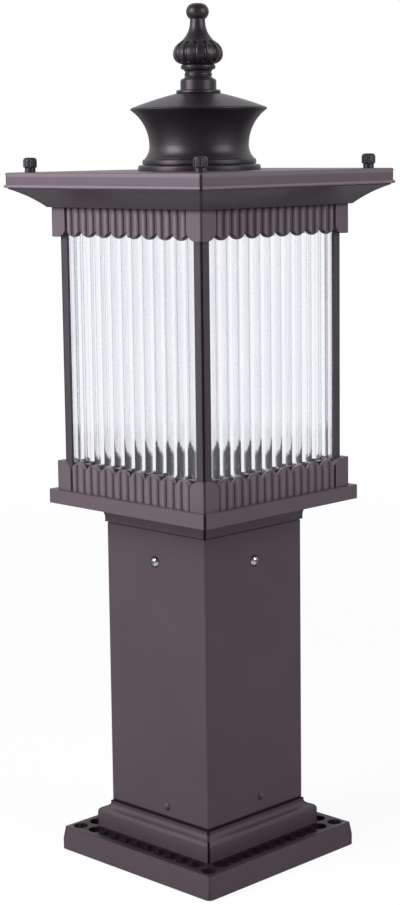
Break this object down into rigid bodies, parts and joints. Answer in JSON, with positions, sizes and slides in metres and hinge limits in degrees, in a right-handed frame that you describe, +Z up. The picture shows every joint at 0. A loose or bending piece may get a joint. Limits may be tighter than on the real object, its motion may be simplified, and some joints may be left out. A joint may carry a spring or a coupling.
{
  "type": "pillar lantern",
  "caption": "Square outdoor pillar lantern: flat lift-off roof with vent cap and finial, reeded glass cage, ribbed scalloped bands, plain post and anchor base.",
  "frame": {"origin": "centre of the underside of the base, on the ground", "axes": "+Z up; -Y is the front face and +X the right face, the two that the picture shows"},
  "size_m": [0.256, 0.256, 0.8],
  "materials": {
    "bronze_paint": "satin powder coat, dark bronze brown",
    "dark_paint": "satin powder coat, near black",
    "reeded_glass": "clear glass, reeded outside and smooth inside",
    "bright_steel": "bright plated",
    "zinc_steel": "zinc plated",
    "black_rubber": "matt",
    "brass": "plain turned",
    "black_plastic": "moulded phenolic plastic"
  },
  "bodies": {
    "stand": {"base_casting": "bronze_paint", "base_grommet": "black_rubber", "post_socket": "zinc_steel", "socket_bolts": "zinc_steel", "post_tube": "bronze_paint", "lower_post_screws": "bronze_paint", "neck_casting": "bronze_paint", "upper_post_screws": "bright_steel", "floor_plate": "bronze_paint", "floor_bolts": "zinc_steel", "floor_grommet": "black_rubber", "lower_rail": "dark_paint", "gallery_front": "bronze_paint", "gallery_right": "bronze_paint", "gallery_back": "bronze_paint", "gallery_left": "bronze_paint", "gallery_screws": "zinc_steel", "corner_post_front_right": "bronze_paint", "corner_post_back_right": "bronze_paint", "corner_post_back_left": "bronze_paint", "corner_post_front_left": "bronze_paint", "pane_front": "reeded_glass", "pane_right": "reeded_glass", "pane_back": "reeded_glass", "pane_left": "reeded_glass", "upper_rail": "dark_paint", "frieze_front": "bronze_paint", "frieze_right": "bronze_paint", "frieze_back": "bronze_paint", "frieze_left": "bronze_paint", "frieze_screws": "zinc_steel", "roof_frame": "bronze_paint", "frame_screws": "zinc_steel", "roof_studs": "zinc_steel", "roof_seal": "black_rubber", "holder_bracket": "dark_paint", "holder_nipple": "brass", "lamp_holder": "black_plastic", "holder_screws": "zinc_steel", "terminal_block": "black_plastic"},
    "roof_assembly": {"roof_cover": "bronze_paint", "cap_neck": "dark_paint", "cap_screws": "zinc_steel", "cap_lid": "dark_paint", "rod_bridge": "zinc_steel", "finial_rod": "zinc_steel", "rod_nut": "zinc_steel", "finial": "dark_paint"},
    "knob_front_right_nut": {"knob_front_right": "dark_paint"},
    "knob_back_right_nut": {"knob_back_right": "dark_paint"},
    "knob_back_left_nut": {"knob_back_left": "dark_paint"},
    "knob_front_left_nut": {"knob_front_left": "dark_paint"}
  },
  "joints": [
    {"name": "roof_lift", "type": "slide", "parent": "stand", "child": "roof_assembly", "axis": [0, 0, 1], "range_m": [0, 0.15]},
    {"name": "knob_front_right_turn", "type": "hinge", "parent": "roof_assembly", "child": "knob_front_right_nut", "pos_m": [0.11, -0.11, 0.65], "axis": [0, 0, 1], "range_deg": [0, 2880]},
    {"name": "knob_back_right_turn", "type": "hinge", "parent": "roof_assembly", "child": "knob_back_right_nut", "pos_m": [0.11, 0.11, 0.65], "axis": [0, 0, 1], "range_deg": [0, 2880]},
    {"name": "knob_back_left_turn", "type": "hinge", "parent": "roof_assembly", "child": "knob_back_left_nut", "pos_m": [-0.11, 0.11, 0.65], "axis": [0, 0, 1], "range_deg": [0, 2880]},
    {"name": "knob_front_left_turn", "type": "hinge", "parent": "roof_assembly", "child": "knob_front_left_nut", "pos_m": [-0.11, -0.11, 0.65], "axis": [0, 0, 1], "range_deg": [0, 2880]}
  ]
}
